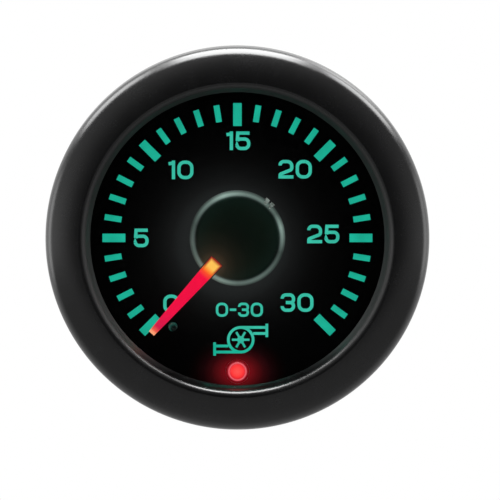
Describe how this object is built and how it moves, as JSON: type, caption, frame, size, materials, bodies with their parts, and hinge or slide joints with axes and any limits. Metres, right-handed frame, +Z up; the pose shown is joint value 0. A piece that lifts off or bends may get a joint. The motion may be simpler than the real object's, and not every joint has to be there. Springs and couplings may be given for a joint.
{
  "type": "boost gauge",
  "caption": "Round panel gauge with a motor-driven pointer over a lit dial, a warning lamp, rear sockets and a strap clamp with thumb nuts.",
  "frame": {"origin": "on the gauge's axis, in the plane where the bezel's rear face meets the front of the panel", "axes": "+Y along the gauge's axis into the panel, so the dial faces -Y; +Z up the dial; +X to the right as the driver sees it"},
  "size_m": [0.0584, 0.0575, 0.0584],
  "materials": {
    "bezel_black": "satin black moulding",
    "seal_rubber": "matt black rubber",
    "clear_lens": "clear polished lens",
    "spacer_black": "matt black moulding",
    "dial_black": "matt black print",
    "legend_green": "translucent green, lit from behind",
    "clear_guide": "clear moulded light guide",
    "pin_black": "black pin",
    "lamp_red": "diffused red lamp body",
    "tinned_lead": "tinned wire",
    "lamp_white": "white lamp body",
    "board_green": "green solder resist",
    "motor_grey": "dark grey moulding",
    "core_steel": "stamped soft iron",
    "bobbin_cream": "cream moulding",
    "winding_copper": "enamelled copper wire",
    "pin_brass": "plated brass pins",
    "shaft_steel": "ground steel",
    "chip_black": "black moulded package",
    "can_aluminium": "drawn aluminium cans",
    "screw_steel": "zinc-plated steel",
    "socket_cream": "cream nylon",
    "case_black": "fine-textured black moulding",
    "screw_black": "black oxide",
    "stud_zinc": "zinc-plated steel",
    "pointer_red": "glowing red acrylic",
    "cap_black": "gloss black moulding",
    "gear_cream": "natural acetal",
    "magnet_grey": "bonded magnet",
    "strap_zinc": "zinc-plated strip",
    "nut_steel": "knurled plated steel"
  },
  "bodies": {
    "case": {"bezel": "bezel_black", "lens_seal": "seal_rubber", "lens": "clear_lens", "spacer_ring": "spacer_black", "dial_face": "dial_black", "dial_markings": "legend_green", "light_guide": "clear_guide", "stop_pin": "pin_black", "warning_lamp": "lamp_red", "lamp_leads": "tinned_lead", "backlight_lamps": "lamp_white", "display_board": "board_green", "motor_housing": "motor_grey", "motor_cover": "motor_grey", "stator_core": "core_steel", "stator_yoke": "core_steel", "coil_bobbins": "bobbin_cream", "coil_windings": "winding_copper", "motor_pins": "pin_brass", "idler_axle": "shaft_steel", "link_header": "chip_black", "link_pins": "pin_brass", "main_board": "board_green", "processor_chip": "chip_black", "driver_chip": "chip_black", "capacitors": "can_aluminium", "chip_resistors": "chip_black", "board_screws": "screw_steel", "power_socket": "socket_cream", "power_pins": "pin_brass", "sensor_socket": "socket_cream", "sensor_pins": "pin_brass", "case_barrel": "case_black", "cover_gasket": "seal_rubber", "rear_cover": "case_black", "cover_screws": "screw_black", "mounting_studs": "stud_zinc"},
    "pointer": {"pointer_arm": "pointer_red", "pointer_cap": "cap_black", "output_shaft": "shaft_steel", "output_gear": "gear_cream"},
    "idler": {"idler_gear": "gear_cream"},
    "rotor": {"rotor_magnet": "magnet_grey", "rotor_pinion": "gear_cream"},
    "clamp": {"clamp_strap": "strap_zinc", "stud_washers": "screw_steel"},
    "nut_left": {"thumb_nut_left": "nut_steel"},
    "nut_right": {"thumb_nut_right": "nut_steel"}
  },
  "joints": [
    {"name": "pointer_turn", "type": "hinge", "parent": "case", "child": "pointer", "pos_m": [0, 0, 0], "axis": [0, 1, 0], "range_deg": [0, 276]},
    {"name": "idler_turn", "type": "hinge", "parent": "case", "child": "idler", "pos_m": [0.00602, 0.008, 0.00829], "axis": [0, 1, 0], "range_deg": [-1990, 1]},
    {"name": "rotor_turn", "type": "hinge", "parent": "case", "child": "rotor", "pos_m": [0, 0.009, 0.01336], "axis": [0, 1, 0], "range_deg": [-1, 11930]},
    {"name": "nut_left_turn", "type": "hinge", "parent": "clamp", "child": "nut_left", "pos_m": [-0.0155, 0.04, 0], "axis": [0, 1, 0], "range_deg": [-901, 2521]},
    {"name": "nut_right_turn", "type": "hinge", "parent": "clamp", "child": "nut_right", "pos_m": [0.0155, 0.04, 0], "axis": [0, 1, 0], "range_deg": [-901, 2521]},
    {"name": "clamp_slide", "type": "slide", "parent": "case", "child": "clamp", "axis": [0, 1, 0], "range_m": [-0.00175, 0.0049]}
  ],
  "couplings": [
    {"joint": "idler_turn", "follows": "pointer_turn", "ratio": -7.2},
    {"joint": "rotor_turn", "follows": "pointer_turn", "ratio": 43.2},
    {"joint": "nut_left_turn", "follows": "clamp_slide", "rad_per_m": 8976},
    {"joint": "nut_right_turn", "follows": "clamp_slide", "rad_per_m": 8976}
  ]
}
